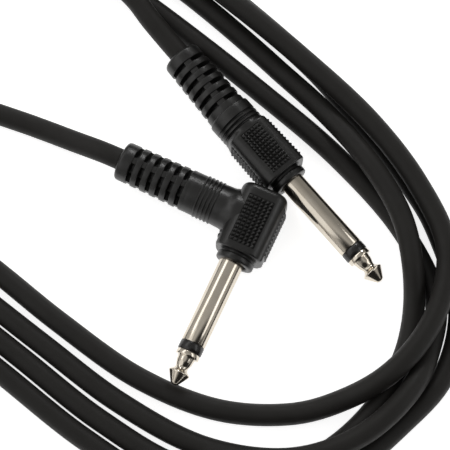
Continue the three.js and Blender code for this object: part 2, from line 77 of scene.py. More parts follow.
# ------------------------------------------------------------------ the cable's route
# Millimetres. The cable runs from the right-angle plug, four times past the coil's near end, to the
# straight plug. Between these passes it goes round the coil's far end, strand beside strand.
CABLE_R = 2.8
FLOOR = CABLE_R                  # height of a strand's centreline when it lies on the floor
UPPER = 8.7                      # and when it lies on another strand
AXIS_Z = 6.9                     # height of both plugs' axes
FAR_X = -163.0                   # centre of the half-turns at the coil's far end
FAR_Y = -1.1
FAR_R = 40.4                     # radius of the innermost half-turn
LOWER_STRANDS = (0.0, 6.3, 12.5)  # how far out the strands lie beyond FAR_R, on the floor
UPPER_STRANDS = (2.9, 9.4)       # and on top of those
STRAP_LIFT = 1.5                 # how far the strap under the bundle lifts it
FAR_STEPS = 6
LEG_STEPS = 3
ROUTE_STEP = 2.0

ANGLE_LEAD = [
    (-33.0, 0.36, AXIS_Z), (-38.0, -0.75, 6.3), (-46.0, -2.6, 4.2), (-56.3, -5.3, FLOOR),
    (-65.8, -8.4, FLOOR), (-89.8, -16.5, FLOOR), (-111.8, -24.1, FLOOR), (-135.8, -32.7, FLOOR),
]
PASS_1 = [
    (-44.5, 39.3, FLOOR), (-16.9, 38.4, FLOOR), (11.1, 36.3, FLOOR), (35.6, 30.8, FLOOR),
    (52.8, 21.3, FLOOR), (59.1, 9.9, 3.6), (61.4, -2.6, 8.0), (58.6, -18.6, 8.7),
    (48.8, -33.5, 8.5), (29.2, -44.3, FLOOR), (6.0, -48.5, FLOOR), (-19.6, -49.0, FLOOR),
]
PASS_2 = [
    (-45.8, 48.5, FLOOR), (-16.3, 46.1, FLOOR), (1.2, 43.5, 5.2), (18.7, 38.7, 8.4),
    (33.1, 32.3, 8.9), (43.0, 23.9, 8.0), (50.6, 14.5, 3.9), (55.2, 3.9, FLOOR),
    (57.0, -10.1, FLOOR), (54.6, -25.1, FLOOR), (46.6, -41.1, FLOOR), (27.8, -51.7, FLOOR),
    (4.7, -55.0, FLOOR), (-21.4, -55.0, FLOOR),
]
PASS_3 = [
    (-39.1, 54.7, FLOOR), (-9.8, 52.1, FLOOR), (4.6, 49.0, FLOOR), (18.0, 46.0, FLOOR),
    (30.4, 41.8, FLOOR), (41.0, 37.1, FLOOR), (58.6, 23.5, FLOOR), (65.8, 6.9, FLOOR),
    (64.6, -9.6, FLOOR), (59.4, -30.4, FLOOR), (47.8, -48.5, FLOOR), (28.0, -58.0, FLOOR),
    (4.7, -61.0, FLOOR), (-23.2, -61.0, FLOOR),
]
PASS_4 = [
    (-37.3, 52.3, UPPER), (-13.5, 50.9, UPPER), (11.6, 47.8, UPPER), (30.9, 42.0, UPPER),
    (46.6, 33.1, 8.9), (53.8, 20.9, 9.4), (56.0, 8.9, 9.4), (54.6, -3.1, 8.4),
    (49.6, -13.7, 4.2), (42.0, -23.8, FLOOR), (26.8, -34.6, FLOOR), (6.1, -40.7, FLOOR),
    (-18.9, -42.0, FLOOR), (-39.1, -41.7, FLOOR),
]
STRAIGHT_LEAD = [(-59.3, 37.1, UPPER), (-50.5, 34.9, 8.0), (-43.5, 33.4, 7.2), (-38.7, 32.4, AXIS_Z)]


def leg(end, far_y, far_z, fraction):
    """A point between a pass's end and the far half-turn: the height changes first, then the side."""
    rise = min(1, 2 * fraction)
    shift = max(0, 2 * fraction - 1)
    return (
        end[0] + (FAR_X - end[0]) * fraction,
        end[1] + (far_y - end[1]) * shift,
        end[2] + (far_z - end[2]) * rise,
    )


def half_turn(radius, height):
    """The bend around the coil's far end, lifted a little where the strap passes under it."""
    points = []
    for i in range(FAR_STEPS + 1):
        angle = math.pi * i / FAR_STEPS
        points.append((
            FAR_X - radius * math.sin(angle),
            FAR_Y - radius * math.cos(angle),
            height + STRAP_LIFT * math.sin(angle) ** 4,
        ))
    return points


def far_end(arrive, depart, radius, height):
    """From the end of one pass, round the far end, to the start of the next."""
    points = []
    if arrive:
        for i in range(1, LEG_STEPS + 1):
            points.append(leg(arrive, FAR_Y - radius, height, i / (LEG_STEPS + 1)))
    points += half_turn(radius, height)
    for i in range(LEG_STEPS, 0, -1):
        points.append(leg(depart, FAR_Y + radius, height, i / (LEG_STEPS + 1)))
    return points


def smooth_line(points, step):
    """The centripetal Catmull-Rom line through the points, sampled every step."""
    points = [Vector(p) for p in points]
    points = [2 * points[0] - points[1]] + points + [2 * points[-1] - points[-2]]
    line = []
    for i in range(1, len(points) - 2):
        p0, p1, p2, p3 = points[i - 1:i + 3]
        t1 = (p1 - p0).length ** 0.5
        t2 = t1 + (p2 - p1).length ** 0.5
        t3 = t2 + (p3 - p2).length ** 0.5
        count = max(2, round((p2 - p1).length / step))
        for k in range(count):
            t = t1 + (t2 - t1) * k / count
            a1 = p0.lerp(p1, t / t1)
            a2 = p1.lerp(p2, (t - t1) / (t2 - t1))
            a3 = p2.lerp(p3, (t - t2) / (t3 - t2))
            b1 = a1.lerp(a2, t / t2)
            b2 = a2.lerp(a3, (t - t1) / (t3 - t1))
            line.append(b1.lerp(b2, (t - t1) / (t2 - t1)))
    line.append(points[-2])
    for point in line:
        point.z = max(point.z, FLOOR)
    return line


ROUTE = smooth_line(
    ANGLE_LEAD
    + far_end(None, PASS_1[0], FAR_R + LOWER_STRANDS[0], FLOOR)
    + PASS_1
    + far_end(PASS_1[-1], PASS_2[0], FAR_R + LOWER_STRANDS[1], FLOOR)
    + PASS_2
    + far_end(PASS_2[-1], PASS_3[0], FAR_R + LOWER_STRANDS[2], FLOOR)
    + PASS_3
    + far_end(PASS_3[-1], PASS_4[0], FAR_R + UPPER_STRANDS[1], UPPER)
    + PASS_4
    + far_end(PASS_4[-1], STRAIGHT_LEAD[0], FAR_R + UPPER_STRANDS[0], UPPER)
    + STRAIGHT_LEAD,
    ROUTE_STEP,
)


def make_cable():
    curve = bpy.data.curves.new("cable", "CURVE")
    curve.dimensions = "3D"
    spline = curve.splines.new("POLY")
    spline.points.add(len(ROUTE) - 1)
    for point, place in zip(spline.points, ROUTE):
        point.co = (*(place * MM), 1)
    curve.bevel_depth = CABLE_R * MM
    curve.bevel_resolution = 6
    curve.use_fill_caps = True
    curve.materials.append(MATERIALS["cable_pvc"])
    cable = bpy.data.objects.new("cable", curve)
    SCENE.collection.objects.link(cable)
    return cable


# ------------------------------------------------------------------ materials
def new_material(name, color, roughness, metallic=0.0):
    material = bpy.data.materials.new(name)
    material.use_nodes = True
    shader = material.node_tree.nodes["Principled BSDF"]
    shader.inputs["Base Color"].default_value = (*color, 1)
    shader.inputs["Roughness"].default_value = roughness
    shader.inputs["Metallic"].default_value = metallic
    return material, material.node_tree, shader


def place_coordinates(tree):
    """Object coordinates in millimetres."""
    coordinates = tree.nodes.new("ShaderNodeTexCoord")
    scale = tree.nodes.new("ShaderNodeVectorMath")
    scale.operation = "SCALE"
    scale.inputs["Scale"].default_value = 1000
    tree.links.new(coordinates.outputs["Object"], scale.inputs[0])
    return scale.outputs[0]


def noise(tree, coordinates, scale, detail=3.0, roughness=0.6):
    node = tree.nodes.new("ShaderNodeTexNoise")
    node.inputs["Scale"].default_value = scale
    node.inputs["Detail"].default_value = detail
    node.inputs["Roughness"].default_value = roughness
    tree.links.new(coordinates, node.inputs["Vector"])
    return node.outputs["Fac"]


def ranged(tree, value, from_min, from_max, to_min, to_max):
    node = tree.nodes.new("ShaderNodeMapRange")
    for key, number in (
        ("From Min", from_min), ("From Max", from_max), ("To Min", to_min), ("To Max", to_max),
    ):
        node.inputs[key].default_value = number
    tree.links.new(value, node.inputs["Value"])
    return node.outputs["Result"]


def color_ramp(tree, value, stops):
    node = tree.nodes.new("ShaderNodeValToRGB")
    ramp = node.color_ramp
    while len(ramp.elements) < len(stops):
        ramp.elements.new(0.5)
    for element, (position, color) in zip(ramp.elements, stops):
        element.position = position
        element.color = (*color, 1)
    tree.links.new(value, node.inputs["Fac"])
    return node.outputs["Color"]


def bump(tree, height, distance_mm, strength, under=None):
    node = tree.nodes.new("ShaderNodeBump")
    node.inputs["Distance"].default_value = distance_mm * MM
    node.inputs["Strength"].default_value = strength
    tree.links.new(height, node.inputs["Height"])
    if under is not None:
        tree.links.new(under, node.inputs["Normal"])
    return node.outputs["Normal"]


def cable_material():
    """Soft matte PVC: faint mottling, a fine grain and the slow ripples of an extruded jacket."""
    material, tree, shader = new_material("cable_pvc", (0.007, 0.0068, 0.0064), 0.55)
    shader.inputs["Specular IOR Level"].default_value = 0.22
    place = place_coordinates(tree)
    mottle = noise(tree, place, 0.12, 4)
    tree.links.new(
        color_ramp(tree, mottle, [(0.3, (0.0155, 0.0145, 0.0134)), (0.7, (0.0195, 0.0184, 0.017))]),
        shader.inputs["Base Color"],
    )
    tree.links.new(ranged(tree, noise(tree, place, 0.5, 4), 0.3, 0.7, 0.5, 0.6), shader.inputs["Roughness"])
    ripple = bump(tree, noise(tree, place, 0.16, 2), 0.08, 0.15)
    grain = bump(tree, noise(tree, place, 4.5, 3, 0.7), 0.015, 0.3, ripple)
    tree.links.new(grain, shader.inputs["Normal"])
    return material


def handle_material():
    """Moulded PVC: satin black with a fine texture and pale handling marks scattered over it."""
    material, tree, shader = new_material("handle_pvc", (0.007, 0.0069, 0.0067), 0.4)
    shader.inputs["Specular IOR Level"].default_value = 0.5
    place = place_coordinates(tree)
    specks = noise(tree, place, 2.2, 6, 0.75)
    tree.links.new(
        color_ramp(
            tree,
            specks,
            [(0.3, (0.0035, 0.0034, 0.0032)), (0.62, (0.0085, 0.0082, 0.0078)), (0.78, (0.04, 0.04, 0.038))],
        ),
        shader.inputs["Base Color"],
    )
    marks = noise(tree, place, 0.9, 5, 0.7)
    tree.links.new(ranged(tree, marks, 0.3, 0.7, 0.28, 0.42), shader.inputs["Roughness"])
    soft = bump(tree, noise(tree, place, 0.5, 2), 0.08, 0.3)
    grain = bump(tree, noise(tree, place, 3.2, 4, 0.75), 0.03, 0.45, soft)
    tree.links.new(grain, shader.inputs["Normal"])
    return material


def nickel_material():
    """Polished nickel plate with faint turning marks and haze."""
    material, tree, shader = new_material("nickel", (0.66, 0.6, 0.52), 0.12, 1.0)
    place = place_coordinates(tree)
    haze = noise(tree, place, 0.35, 5, 0.7)
    tree.links.new(ranged(tree, haze, 0.3, 0.75, 0.1, 0.2), shader.inputs["Roughness"])
    tint = noise(tree, place, 0.25, 3)
    tree.links.new(
        color_ramp(tree, tint, [(0.35, (0.63, 0.57, 0.48)), (0.7, (0.69, 0.635, 0.55))]),
        shader.inputs["Base Color"],
    )
    tree.links.new(bump(tree, noise(tree, place, 1.2, 4), 0.008, 0.3), shader.inputs["Normal"])
    return material


def ring_material():
    """The insulating ring's black plastic, glossier than the handles."""
    material, tree, shader = new_material("ring_black", (0.012, 0.011, 0.0105), 0.25)
    place = place_coordinates(tree)
    tree.links.new(ranged(tree, noise(tree, place, 1.1, 4), 0.3, 0.7, 0.2, 0.34), shader.inputs["Roughness"])
    tree.links.new(bump(tree, noise(tree, place, 2.0, 3), 0.01, 0.3), shader.inputs["Normal"])
    return material


def strap_material():
    """Hook-and-loop fabric: a dense nap of short fibres."""
    material, tree, shader = new_material("strap", (0.012, 0.012, 0.013), 0.9)
    shader.inputs["Sheen Weight"].default_value = 0.35
    shader.inputs["Sheen Roughness"].default_value = 0.6
    place = place_coordinates(tree)
    fibres = noise(tree, place, 3.0, 8, 0.8)
    tree.links.new(
        color_ramp(tree, fibres, [(0.35, (0.008, 0.008, 0.0085)), (0.65, (0.035, 0.035, 0.038))]),
        shader.inputs["Base Color"],
    )
    tree.links.new(bump(tree, fibres, 0.25, 0.8), shader.inputs["Normal"])
    return material


def hidden_material(name, color, roughness, metallic=0.0):
    """A surface that is hidden or hardly seen: a plain finish with a little mottling."""
    material, tree, shader = new_material(name, color, roughness, metallic)
    place = place_coordinates(tree)
    low = tuple(0.85 * c for c in color)
    high = tuple(min(1, 1.12 * c) for c in color)
    tree.links.new(
        color_ramp(tree, noise(tree, place, 0.8, 4), [(0.3, low), (0.7, high)]),
        shader.inputs["Base Color"],
    )
    tree.links.new(bump(tree, noise(tree, place, 2.5, 3), 0.02, 0.3), shader.inputs["Normal"])
    return material


MATERIALS = {
    "handle_pvc": handle_material(),
    "cable_pvc": cable_material(),
    "nickel": nickel_material(),
    "ring_black": ring_material(),
    "strap": strap_material(),
    "liner": hidden_material("liner", (0.75, 0.73, 0.68), 0.5),
    "fibre": hidden_material("fibre", (0.15, 0.08, 0.04), 0.75),
    "copper": hidden_material("copper", (0.48, 0.2, 0.08), 0.35, 1.0),
    "tinned": hidden_material("tinned", (0.5, 0.5, 0.48), 0.35, 1.0),
}
RECESS_PAINTED_SHADE = hidden_material("recess_painted_shade", (0.0025, 0.0024, 0.0023), 0.9)    # painted shade: a darker black for the floors of the strain reliefs' windows, standing in for the shade that falls there
RECESS_PAINTED_SHADE_R = 3.6                   # a face that reaches further in than this is such a floor and gets the painted shade


def paint(piece, slot):
    piece.data.materials.clear()
    piece.data.materials.append(MATERIALS[slot])


for part in frame["record"]["subparts"]:
    paint(frame["nodes"][part["node"]], part["material_slot"])


def finish_piece(name, mesh, slot, *nodes):
    """Puts a mesh in the scene, riding on the cable, in place of its CAD nodes."""
    piece = bpy.data.objects.new(name, mesh)
    SCENE.collection.objects.link(piece)
    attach(piece, "root")
    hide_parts(*nodes)
    paint(piece, slot)
    return piece


# ------------------------------------------------------------------ closed surfaces around an axis
MOULDED_SHARP = 38               # edges that turn by more degrees than this stay sharp
METAL_SHARP = 50


class Shell:
    """Collects closed surfaces in millimetres and makes one mesh of them, in metres."""

    def __init__(self, name, frame_matrix):
        self.name = name
        self.matrix = frame_matrix
        self.bm = bmesh.new()

    def add(self, stations, angles, radius_at, local=Matrix.Identity(4)):
        """A closed surface along local +X: at each station and angle it is radius_at(station, angle) out."""
        matrix = self.matrix @ local
        rings = []
        radii = []
        for station in stations:
            ring = []
            reach = [radius_at(station, angle) for angle in angles]
            for angle, radius in zip(angles, reach):
                point = Vector((station, radius * math.cos(angle), radius * math.sin(angle)))
                ring.append(self.bm.verts.new(matrix @ point * MM))
            rings.append(ring)
            radii.append(reach)
        count = len(angles)
        for row, (low, high) in enumerate(zip(rings, rings[1:])):
            for i in range(count):
                k = (i + 1) % count
                face = self.bm.faces.new((low[i], low[k], high[k], high[i]))
                deepest = min(radii[row][i], radii[row][k], radii[row + 1][i], radii[row + 1][k])
                # faces deep in the windows get the second slot, the darker black of painted shade
                face.material_index = 1 if deepest < RECESS_PAINTED_SHADE_R else 0
        self.bm.faces.new(list(reversed(rings[0])))
        self.bm.faces.new(rings[-1])

    def lathe(self, profile, segments, local=Matrix.Identity(4)):
        """A turned piece through (station, radius) points, closing on itself when the ends meet."""
        matrix = self.matrix @ local
        rings = []
        for station, radius in profile:
            ring = []
            if radius < 1e-6:
                ring = [self.bm.verts.new(matrix @ Vector((station, 0, 0)) * MM)] * segments
            else:
                for i in range(segments):
                    angle = 2 * math.pi * i / segments
                    point = Vector((station, radius * math.cos(angle), radius * math.sin(angle)))
                    ring.append(self.bm.verts.new(matrix @ point * MM))
            rings.append(ring)
        if profile[0] == profile[-1]:
            for vert in rings[-1]:
                self.bm.verts.remove(vert)
            rings[-1] = rings[0]
        for low, high in zip(rings, rings[1:]):
            for i in range(segments):
                k = (i + 1) % segments
                corners = []
                for vert in (low[i], low[k], high[k], high[i]):
                    if vert not in corners:
                        corners.append(vert)
                if len(corners) > 2:
                    self.bm.faces.new(corners)

    def mesh(self, sharp_degrees=MOULDED_SHARP):
        """The finished mesh: every face smooth but the flat ends, and the sharp edges marked."""
        bmesh.ops.recalc_face_normals(self.bm, faces=self.bm.faces)
        for face in self.bm.faces:
            face.smooth = len(face.verts) < 5
        limit = math.radians(sharp_degrees)
        for edge in self.bm.edges:
            edge.smooth = edge.calc_face_angle(0) < limit
        mesh = bpy.data.meshes.new(self.name)
        self.bm.to_mesh(mesh)
        self.bm.free()
        return mesh


# ------------------------------------------------------------------ plugs
# metal and side are how far the metal and the moulding lie off the plug's axis, towards its +Y.
STRAIGHT = {
    "x": 5.58, "y": 22.61, "turn": -11.6, "metal": 0.08, "side": -0.25,
    "rear": -45.0, "first_slot": -41.1, "joint": -26.0, "bend": -2.0,
}
ANGLE = {
    "x": 6.5, "y": -3.78, "turn": -76.9, "metal": -0.08, "side": 0.5,
    "rear": -37.2, "first_slot": -33.2, "elbow": -12.6, "bend": -0.6, "cap": -20.7,
}
SLEEVE_R = 3.175
EXPOSED = 34.2
RING_REAR = 22.9
RING_LENGTH = 2.3
CONTACT_SEGMENTS = 72
SLEEVE_SEGMENTS = 96


def turned(degrees):
    return Matrix.Rotation(math.radians(degrees), 4, "Z")


def moved(along, across=0.0):
    return Matrix.Translation((along, across, 0))


def plug_matrix(plug, offset):
    """A plug's own frame: +X towards its tip, shifted by its "metal" or "side" offset."""
    return Matrix.Translation((plug["x"], plug["y"], AXIS_Z)) @ turned(plug["turn"]) @ moved(0, plug[offset])


def tip_profile():
    """From the rivet and rod in the handle to the collar, neck and cone."""
    tip = EXPOSED
    collar = RING_REAR + RING_LENGTH + 0.06
    return [
        (-10.6, 0), (-10.6, 1.6), (-9.6, 1.6), (-9.6, 0.9), (collar, 0.9),
        (collar, 2.95), (collar + 0.12, 3.06), (tip - 7.75, 3.06), (tip - 7.6, 2.96),
        (tip - 7.55, 2.35), (tip - 7.0, 2.22), (tip - 6.3, 2.15), (tip - 5.7, 1.98), (tip - 5.2, 1.76),
        (tip - 4.75, 1.64), (tip - 4.4, 1.7), (tip - 4.05, 1.95), (tip - 3.75, 2.32), (tip - 3.5, 2.62),
        (tip - 3.3, 2.8), (tip - 3.1, 2.8), (tip - 2.95, 2.68),
        (tip - 0.55, 1.12), (tip - 0.3, 0.92), (tip - 0.12, 0.6), (tip, 0),
    ]


def make_contacts(name, plug):
    matrix = plug_matrix(plug, "metal")
    tip = Shell(name + "_tip_turned", matrix)
    tip.lathe(tip_profile(), CONTACT_SEGMENTS)
    finish_piece(name + "_tip_turned", tip.mesh(METAL_SHARP), "nickel", name + "_tip")
    ring = Shell(name + "_ring_moulded", matrix)
    ring_end = RING_REAR + RING_LENGTH
    ring_profile = [
        (RING_REAR + 0.04, 1.2), (RING_REAR + 0.04, 3.02), (RING_REAR + 0.2, 3.14), (ring_end - 0.15, 3.14),
        (ring_end, 3.0), (ring_end, 1.2), (RING_REAR + 0.04, 1.2),
    ]
    ring.lathe(ring_profile, CONTACT_SEGMENTS)
    finish_piece(name + "_ring_moulded", ring.mesh(METAL_SHARP), "ring_black", name + "_tip_ring")
    sleeve = Shell(name + "_sleeve_turned", matrix)
    sleeve_profile = [
        (-5.4, 2.1), (-5.4, 4.4), (-4.2, 4.4), (-4.2, SLEEVE_R), (10.0, SLEEVE_R),
        (RING_REAR - 0.22, SLEEVE_R), (RING_REAR - 0.06, SLEEVE_R - 0.08), (RING_REAR, SLEEVE_R - 0.2),
        (RING_REAR, 2.1), (-5.4, 2.1),
    ]
    sleeve.lathe(sleeve_profile, SLEEVE_SEGMENTS)
    finish_piece(name + "_sleeve_turned", sleeve.mesh(METAL_SHARP), "nickel", name + "_sleeve")


make_contacts("straight", STRAIGHT)
make_contacts("angle", ANGLE)

# ------------------------------------------------------------------ strain relief
SLOT_ROWS = 6
SLOT_PITCH = 2.77
SLOT_HALF = 0.6
SLOT_DEPTH = 2.3
RIB_SUNK = 0.32                  # how far the ribs between the windows lie below the rings
RELIEF_R = 5.15                  # at the rear, growing towards the handle
RELIEF_LENGTH = 19.0
RIM_LENGTH = 0.9                 # rounding of the rear end
RIM_DROP = 0.75
WINDOW_R = 5.1                   # radius at which the ribs' widths are measured
EDGE_ROUND = 0.22
WALL = 0.08
EDGE_STATIONS = (-0.22, -0.16, -0.09, -0.03, 0.0, 0.08)


def sunk(inside, depth, rounding=EDGE_ROUND, wall=WALL):
    """How far the surface is sunk at a distance inside an edge: a rounded lip, then a steep wall."""
    if inside <= -rounding:
        return 0.0
    if inside <= 0:
        reach = inside + rounding
        return 0.6 * (rounding - math.sqrt(max(0.0, rounding * rounding - reach * reach)))
    return 0.6 * rounding + (depth - 0.6 * rounding) * min(1.0, inside / wall)


def relief_angles(rib_half, rib_turn):
    """Angles around a strain relief, close together at its four ribs' edges."""
    angles = []
    for quarter in range(4):
        centre = rib_turn + quarter * math.pi / 2
        edge = rib_half / WINDOW_R
        side = [edge + offset / WINDOW_R for offset in EDGE_STATIONS]
        angles += [centre] + [centre + a for a in side] + [centre - a for a in side]
        start = side[-1]
        end = math.pi / 2 - start
        angles += [centre + start + (end - start) * k / 9 for k in range(1, 9)]
    return sorted(a % (2 * math.pi) for a in angles)


def relief_stations(rear, first_slot, end):
    """Places along a strain relief, close together at its rear end and at the windows' edges."""
    stations = [rear, rear + 0.02, rear + 0.12, rear + 0.3, rear + 0.6, rear + 0.95, rear + 1.6]
    for row in range(SLOT_ROWS):
        centre = first_slot + row * SLOT_PITCH
        stations.append(centre)
        for offset in EDGE_STATIONS:
            stations += [centre - SLOT_HALF + offset, centre + SLOT_HALF - offset]
    last = first_slot + (SLOT_ROWS - 1) * SLOT_PITCH + 1.6
    stations += [last + (end - last) * k / 6 for k in range(7)]
    return sorted(set(round(s, 4) for s in stations))


def relief_radius(station, angle, rear, first_slot, rib_half, rib_turn, front_radius):
    """A slotted strain relief: slightly tapered rings, joined by four lower ribs."""
    along = (station - rear) / RELIEF_LENGTH
    radius = RELIEF_R + (front_radius - RELIEF_R) * min(1.0, along)
    rim = min(RIM_LENGTH, station - rear)
    radius -= RIM_DROP * (1 - math.sqrt(max(0.0, 1 - ((RIM_LENGTH - rim) / RIM_LENGTH) ** 2)))
    row = round((station - first_slot) / SLOT_PITCH)
    if 0 <= row < SLOT_ROWS:
        away = abs(station - first_slot - row * SLOT_PITCH)
        turn = math.remainder(angle - rib_turn, math.pi / 2)
        across = abs(turn) * WINDOW_R - rib_half
        window = sunk(min(SLOT_HALF - away, across), SLOT_DEPTH)
        radius -= max(window, sunk(SLOT_HALF - away, RIB_SUNK))
    return radius


# ------------------------------------------------------------------ grips
STUD_ALONG = 1.08
STUD_ROWS = 12
STUD_COLUMNS = 6
STUD_HEIGHT = 0.56
STUD_SUNK = 0.12                 # how far the panel lies below the face around it
STUD_STEPS = 6                   # mesh steps to each stud
CORNER_SHARPNESS = 13            # higher is sharper, where a flat face meets a cut corner
GRIP_FRONT = -2.4


def triangle_wave(value):
    """1 at the middle of each unit step, 0 at its ends."""
    return 1 - abs(2 * (value % 1.0) - 1)


def stud_height(along, across, across_pitch):
    """Rows of blunt pyramids; along and across are measured from a panel's corner."""
    inside_along = 0 <= along <= STUD_ROWS * STUD_ALONG
    inside_across = 0 <= across <= STUD_COLUMNS * across_pitch
    if not (inside_along and inside_across):
        return 0.0
    peak = min(triangle_wave(along / STUD_ALONG), triangle_wave(across / across_pitch))
    return STUD_HEIGHT * min(1.0, 1.25 * peak) - STUD_SUNK


def square_radius(angle, half, corner):
    """Distance from the axis to a square bar with cut, softened corners."""
    turn = abs(math.remainder(angle, math.pi / 2))
    flat = half / math.cos(turn)
    cut = (half + corner) / math.sqrt(2) / math.cos(math.pi / 4 - turn)
    power = CORNER_SHARPNESS
    return (flat ** -power + cut ** -power) ** (-1 / power)


def grip_angles(half, across_pitch):
    """Angles around a grip that fall on the stud panels' lines, with steps over the cut corners."""
    angles = []
    panel = STUD_COLUMNS * across_pitch / 2
    steps = STUD_STEPS * STUD_COLUMNS
    for quarter in range(4):
        centre = quarter * math.pi / 2
        for i in range(steps + 1):
            angles.append(centre + math.atan2(-panel + 2 * panel * i / steps, half))
        start = math.atan2(panel, half)
        end = math.pi / 2 - start
        angles += [centre + start + (end - start) * k / 11 for k in range(1, 11)]
        angles += [centre + start + 0.004, centre - start - 0.004]
    return sorted(set(round(a % (2 * math.pi), 5) for a in angles))


def panel_stations(panel_start):
    """Places along a grip that fall on a stud panel's lines."""
    steps = STUD_STEPS * STUD_ROWS
    stations = [panel_start + STUD_ROWS * STUD_ALONG * i / steps for i in range(steps + 1)]
    return stations + [panel_start - 0.03, panel_start + STUD_ROWS * STUD_ALONG + 0.03]


def face_of(angle):
    """The face an angle is on, counted from +Y, and the distance across that face per unit of half-width."""
    face = round(angle / (math.pi / 2)) % 4
    return face, math.tan(math.remainder(angle, math.pi / 2))


def smooth_step(value, low, high):
    t = min(1.0, max(0.0, (value - low) / (high - low)))
    return t * t * (3 - 2 * t)


def eased_end(distance, rounding):
    """How far a rounded end edge draws in, at a distance from that end."""
    if distance >= rounding:
        return 0.0
    return rounding * (1 - math.sqrt(max(0.0, 1 - (1 - distance / rounding) ** 2)))


# The straight handle's grip, and the plain round shoulder with its grooves behind it.
STRAIGHT_PANEL = -16.75
STRAIGHT_PITCH = 1.02
SHOULDER_REAR = -24.85
SHOULDER_R = 6.05
GROOVES = (-21.4, -20.2, -19.0)
GROOVE_HALF = 0.36
GROOVE_DEPTH = 0.42
GRIP_REAR = -18.6                # from here the round part turns into the square grip
GRIP_SQUARE = -17.3


def straight_grip_radius(station, angle):
    if station > GRIP_REAR:
        half = 5.95 + 0.4 * (station - GRIP_REAR) / (GRIP_FRONT - GRIP_REAR)
        shape = square_radius(angle, half, 4.3)
        radius = SHOULDER_R + (shape - SHOULDER_R) * smooth_step(station, GRIP_REAR, GRIP_SQUARE)
        across = face_of(angle)[1]
        panel = STUD_COLUMNS * STRAIGHT_PITCH / 2
        radius += stud_height(station - STRAIGHT_PANEL, across * half + panel, STRAIGHT_PITCH)
        return radius - eased_end(GRIP_FRONT - station, 0.5)
    radius = SHOULDER_R - eased_end(station - SHOULDER_REAR, 0.45)
    for groove in GROOVES:
        radius -= GROOVE_DEPTH * max(0.0, 1 - (abs(station - groove) / GROOVE_HALF) ** 2)
    return radius


def straight_boot_matrix():
    """The strain relief bends a little against the handle."""
    joint = STRAIGHT["joint"]
    return moved(joint) @ turned(STRAIGHT["bend"]) @ moved(-joint)


def straight_handle():
    shell = Shell("straight_handle_moulded", plug_matrix(STRAIGHT, "side"))
    rear, first = STRAIGHT["rear"], STRAIGHT["first_slot"]
    rib_half = 1.05
    rib_turn = math.radians(6)
    shell.add(
        relief_stations(rear, first, -24.0),
        relief_angles(rib_half, rib_turn),
        lambda s, a: relief_radius(s, a, rear, first, rib_half, rib_turn, 5.55),
        straight_boot_matrix(),
    )
    stations = [SHOULDER_REAR, -24.82, -24.7, -24.55, -24.4, -23.2, -22.0]
    for groove in GROOVES:
        stations += [groove + GROOVE_HALF * k / 3 for k in range(-3, 4)]
    stations += [GRIP_REAR, -18.3, -18.0, -17.65, GRIP_SQUARE, -17.0]
    stations += panel_stations(STRAIGHT_PANEL)
    stations += [-3.6, -3.2, -2.9, -2.75, -2.6, -2.5, -2.43, GRIP_FRONT]
    stations = sorted(set(round(s, 4) for s in stations))
    shell.add(stations, grip_angles(6.2, STRAIGHT_PITCH), straight_grip_radius)
    add_seat(shell)
    handle = finish_piece("straight_handle_moulded", shell.mesh(), "handle_pvc", "straight_handle")
    # second slot: the painted shade on the floors of the windows
    handle.data.materials.append(RECESS_PAINTED_SHADE)


def add_seat(shell):
    """The collar that meets the jack, with a groove behind it."""
    shell.lathe(
        [
            (-2.9, 3.2), (-2.9, 4.5), (-1.95, 4.45), (-1.85, 4.7), (-1.75, 4.92), (-1.55, 5.02), (-0.4, 5.0),
            (-0.15, 4.9), (0, 4.7), (0, 3.5), (-0.3, 3.3), (-0.8, 3.2), (-2.9, 3.2),
        ],
        CONTACT_SEGMENTS,
    )


# The right-angle handle: the slotted boot, its fine ribs, the neck and the block.
FINE_REAR = -18.2
FINE_RIBS = 5
FINE_FIRST = -14.4
FINE_PITCH = 1.05
FINE_HALF = 0.3
FINE_HEIGHT = 0.24
BLOCK_HALF = 6.3
ANGLE_PANEL = -17.25
ANGLE_PITCH = 1.18
CAP_ROUND = 1.9
SIDE_PAD = 0.32
PLAIN_ROWS = 10                  # rows left plain on the face that the boot joins
NECK_END = -3.0


def fine_rib_radius(station):
    """Plain, then five fine ribs, then a neck that swells into the block. Measured from the elbow."""
    radius = 5.48 + 0.12 * smooth_step(station, -10.5, -8.0) + 0.65 * smooth_step(station, -8.4, -5.0) ** 2
    for rib in range(FINE_RIBS):
        away = abs(station - FINE_FIRST - rib * FINE_PITCH)
        radius += FINE_HEIGHT * max(0.0, 1 - (away / FINE_HALF) ** 2) ** 0.5
    return radius - eased_end(station - FINE_REAR, 0.3)


def angle_block_radius(station, angle):
    """The block: a square bar with a rounded cap, studs on three sides and a raised pad on +Y."""
    shape = square_radius(angle, BLOCK_HALF, 4.2)
    shape -= eased_end(station - ANGLE["cap"], CAP_ROUND) * 1.1
    face, across = face_of(angle)
    panel = STUD_COLUMNS * ANGLE_PITCH / 2
    along = station - ANGLE_PANEL
    height = stud_height(along, across * BLOCK_HALF + panel, ANGLE_PITCH)
    if face == 2 and along < PLAIN_ROWS * STUD_ALONG:
        height = 0.0
    if face == 0:
        edge = min(along, -station - 3.0, panel - abs(across * BLOCK_HALF))
        height += SIDE_PAD * smooth_step(edge, -0.5, 0.0)
    return shape + height - eased_end(GRIP_FRONT - station, 0.55)


def elbow_matrix():
    """The boot's own frame: it leaves the block's side at the elbow."""
    return moved(ANGLE["elbow"], -ANGLE["side"]) @ turned(90 + ANGLE["bend"])


